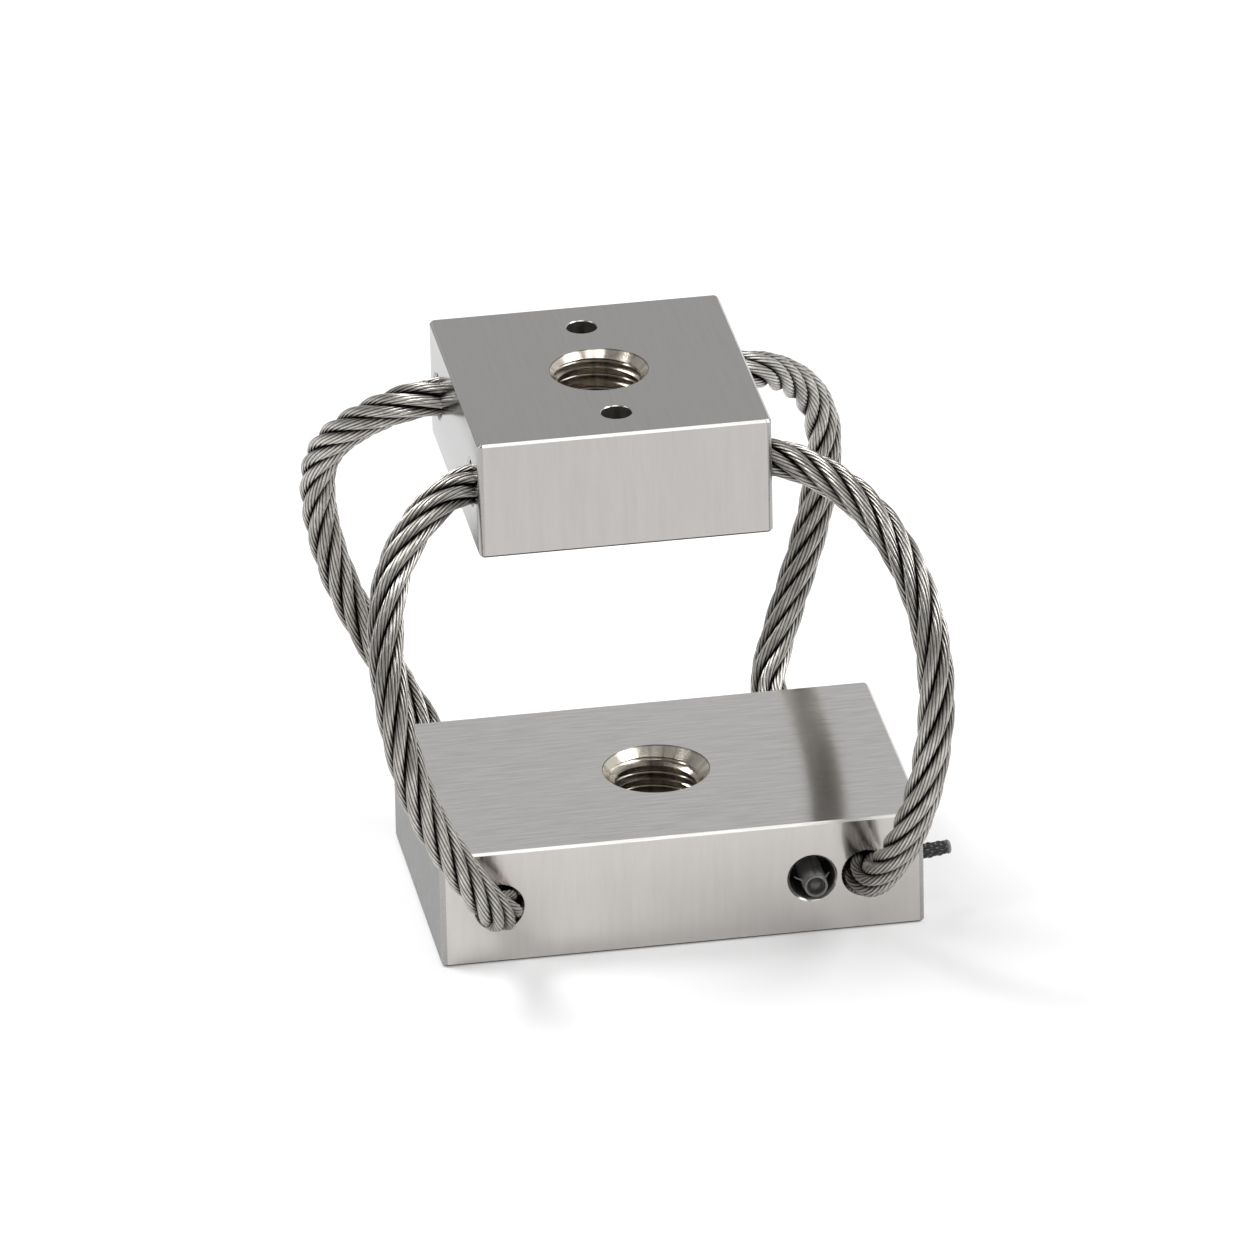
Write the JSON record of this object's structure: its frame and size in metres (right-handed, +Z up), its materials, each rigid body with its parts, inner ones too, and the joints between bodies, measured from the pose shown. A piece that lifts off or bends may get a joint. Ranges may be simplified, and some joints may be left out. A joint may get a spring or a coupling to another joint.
{
  "type": "wire rope isolator",
  "caption": "Spring mount of two tapped stainless blocks joined by four bent legs of one locked wire rope.",
  "frame": {"origin": "centre of the base block's underside, on the base's thread axis", "axes": "+X along the base block's length, -Y the front, +Z up through both threads, towards the top block"},
  "size_m": [0.0489, 0.0517, 0.0465],
  "materials": {
    "stainless": "brushed",
    "rope_wire": "bright drawn wire",
    "screw_steel": "plain",
    "black_sleeve": "black oxide",
    "black_pin": "black oxide"
  },
  "bodies": {
    "base": {"base_block": "stainless", "base_rope_screw_left": "screw_steel", "base_rope_screw_right": "screw_steel", "spare_bore_sleeve": "black_sleeve", "end_pin": "black_pin", "wire_rope": "rope_wire"},
    "top": {"top_block": "stainless", "top_rope_screw_front": "screw_steel", "top_rope_screw_rear": "screw_steel"}
  },
  "joints": [
    {"name": "top_travel", "type": "slide", "parent": "base", "child": "top", "axis": [0, 0, 1], "range_m": [-0.012, 0.006], "stiffness_N_per_m": 8000, "deforming": ["wire_rope"]}
  ]
}
